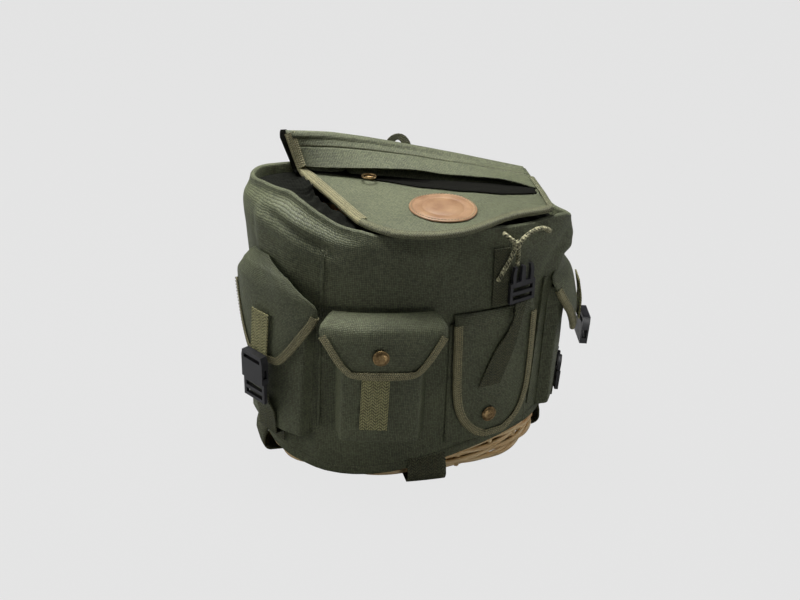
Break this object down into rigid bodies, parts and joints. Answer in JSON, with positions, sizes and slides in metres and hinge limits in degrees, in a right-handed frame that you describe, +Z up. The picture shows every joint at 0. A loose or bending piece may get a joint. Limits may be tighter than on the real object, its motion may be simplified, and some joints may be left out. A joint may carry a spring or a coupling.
{
  "type": "pack basket",
  "caption": "Woven willow pack basket in a fitted canvas cover with a lid, bellows and flat pockets, side pockets with clip straps, and padded shoulder straps.",
  "frame": {"origin": "middle of the webbing under the basket, on the surface it stands on", "axes": "+Z up, the front with the two snap pockets faces -Y, +X to the viewer's right"},
  "size_m": [0.3944, 0.2769, 0.3322],
  "materials": {
    "willow": "peeled willow rods, dry and slightly glossy",
    "canvas": "olive coarse woven polyester canvas",
    "webbing": "dark olive woven webbing",
    "binding": "khaki braided edge tape",
    "cord": "flecked olive braided cord",
    "patch": "tan leather, stitched edge, bare face",
    "snap": "antique brass",
    "zip_metal": "worn antique brass",
    "zip_tape": "dark woven zip tape",
    "buckle": "black moulded acetal"
  },
  "bodies": {
    "pack": {"basket_wall": "willow", "basket_base": "willow", "basket_rim": "willow", "cover_shell": "canvas", "mouth_collar": "canvas", "left_seam_strip": "canvas", "right_seam_strip": "canvas", "under_strap_lengthwise": "webbing", "under_strap_across": "webbing", "front_left_pocket": "canvas", "front_left_snap_stud": "snap", "pocket_webbing_strip": "webbing", "front_right_pocket": "canvas", "front_right_snap_stud": "snap", "left_side_pocket": "canvas", "left_lower_strap": "webbing", "right_side_pocket": "canvas", "right_lower_strap": "webbing", "front_strap_stub": "webbing", "buckle_backing_strap": "webbing", "left_shoulder_strap": "canvas", "right_shoulder_strap": "canvas", "left_adjusting_strap": "webbing", "right_adjusting_strap": "webbing", "left_ladder_lock": "buckle", "right_ladder_lock": "buckle", "drawcord_left": "cord", "drawcord_right": "cord", "drawcord_tail_left": "cord", "drawcord_tail_right": "cord", "drawcord_knot": "cord"},
    "lid": {"lid_panel": "canvas", "lid_band": "canvas", "lid_binding": "binding", "leather_patch": "patch", "zip_tape": "zip_tape", "lid_strap": "webbing", "lid_buckle_socket": "buckle"},
    "zip_slider": {"zip_slider": "zip_metal"},
    "zip_pull": {"zip_pull": "zip_metal"},
    "haul_loop": {"haul_loop": "webbing"},
    "front_left_flap": {"front_left_flap": "canvas", "front_left_flap_binding": "binding", "front_left_snap_cap": "snap"},
    "front_right_flap": {"front_right_flap": "canvas", "front_right_flap_binding": "binding", "front_right_snap_cap": "snap"},
    "front_buckle": {"front_buckle_fork": "buckle"},
    "front_strap_tail": {"front_strap_tail": "webbing"},
    "left_side_flap": {"left_side_flap": "canvas", "left_side_flap_binding": "binding", "left_flap_tab": "webbing", "left_buckle_socket": "buckle"},
    "left_buckle": {"left_buckle_fork": "buckle"},
    "right_side_flap": {"right_side_flap": "canvas", "right_side_flap_binding": "binding", "right_flap_tab": "webbing", "right_buckle_socket": "buckle"},
    "right_buckle": {"right_buckle_fork": "buckle"}
  },
  "joints": [
    {"name": "lid_hinge", "type": "hinge", "parent": "pack", "child": "lid", "pos_m": [0, 0.089, 0.2885], "axis": [-1, 0, 0], "range_deg": [0, 100]},
    {"name": "zip_slide", "type": "slide", "parent": "lid", "child": "zip_slider", "axis": [0.9247, -0.3808, 0.0025], "range_m": [-0.02, 0.12]},
    {"name": "zip_pull_swing", "type": "hinge", "parent": "zip_slider", "child": "zip_pull", "pos_m": [-0.0374, 0.03518, 0.29881], "axis": [-0.9247, 0.3808, -0.0025], "range_deg": [0, 55]},
    {"name": "haul_loop_swing", "type": "hinge", "parent": "lid", "child": "haul_loop", "pos_m": [0.00444, 0.08446, 0.29663], "axis": [-0.9822, 0.12, 0.1443], "range_deg": [0, 35]},
    {"name": "front_left_flap_hinge", "type": "hinge", "parent": "pack", "child": "front_left_flap", "pos_m": [-0.05107, -0.10056, 0.206], "axis": [-0.9879, 0.1549, 0], "range_deg": [0, 90]},
    {"name": "front_right_flap_hinge", "type": "hinge", "parent": "pack", "child": "front_right_flap", "pos_m": [0.06882, -0.09737, 0.1965], "axis": [-0.9732, -0.2299, 0], "range_deg": [0, 60]},
    {"name": "front_strap_tail_swing", "type": "hinge", "parent": "pack", "child": "front_strap_tail", "pos_m": [0.09799, -0.09358, 0.2005], "axis": [-0.9732, -0.2299, 0], "range_deg": [0, 60]},
    {"name": "front_buckle_swing", "type": "hinge", "parent": "pack", "child": "front_buckle", "pos_m": [0.09799, -0.09358, 0.2005], "axis": [0.9311, 0.3647, 0], "range_deg": [0, 45]},
    {"name": "left_side_flap_hinge", "type": "hinge", "parent": "pack", "child": "left_side_flap", "pos_m": [-0.1568, -0.04407, 0.25], "axis": [-0.5491, 0.8358, 0], "range_deg": [0, 90]},
    {"name": "left_buckle_release", "type": "slide", "parent": "pack", "child": "left_buckle", "axis": [0.0353, 0.0098, -0.9993], "range_m": [0, 0.022]},
    {"name": "right_side_flap_hinge", "type": "hinge", "parent": "pack", "child": "right_side_flap", "pos_m": [0.16748, -0.01891, 0.25], "axis": [-0.2152, -0.9766, 0], "range_deg": [0, 90]},
    {"name": "right_buckle_swing", "type": "hinge", "parent": "pack", "child": "right_buckle", "pos_m": [0.1731, -0.02034, 0.05472], "axis": [0.1864, 0.9825, -0.0038], "range_deg": [0, 80]}
  ],
  "couplings": [
    {"joint": "front_strap_tail_swing", "follows": "front_right_flap_hinge", "ratio": 1}
  ]
}
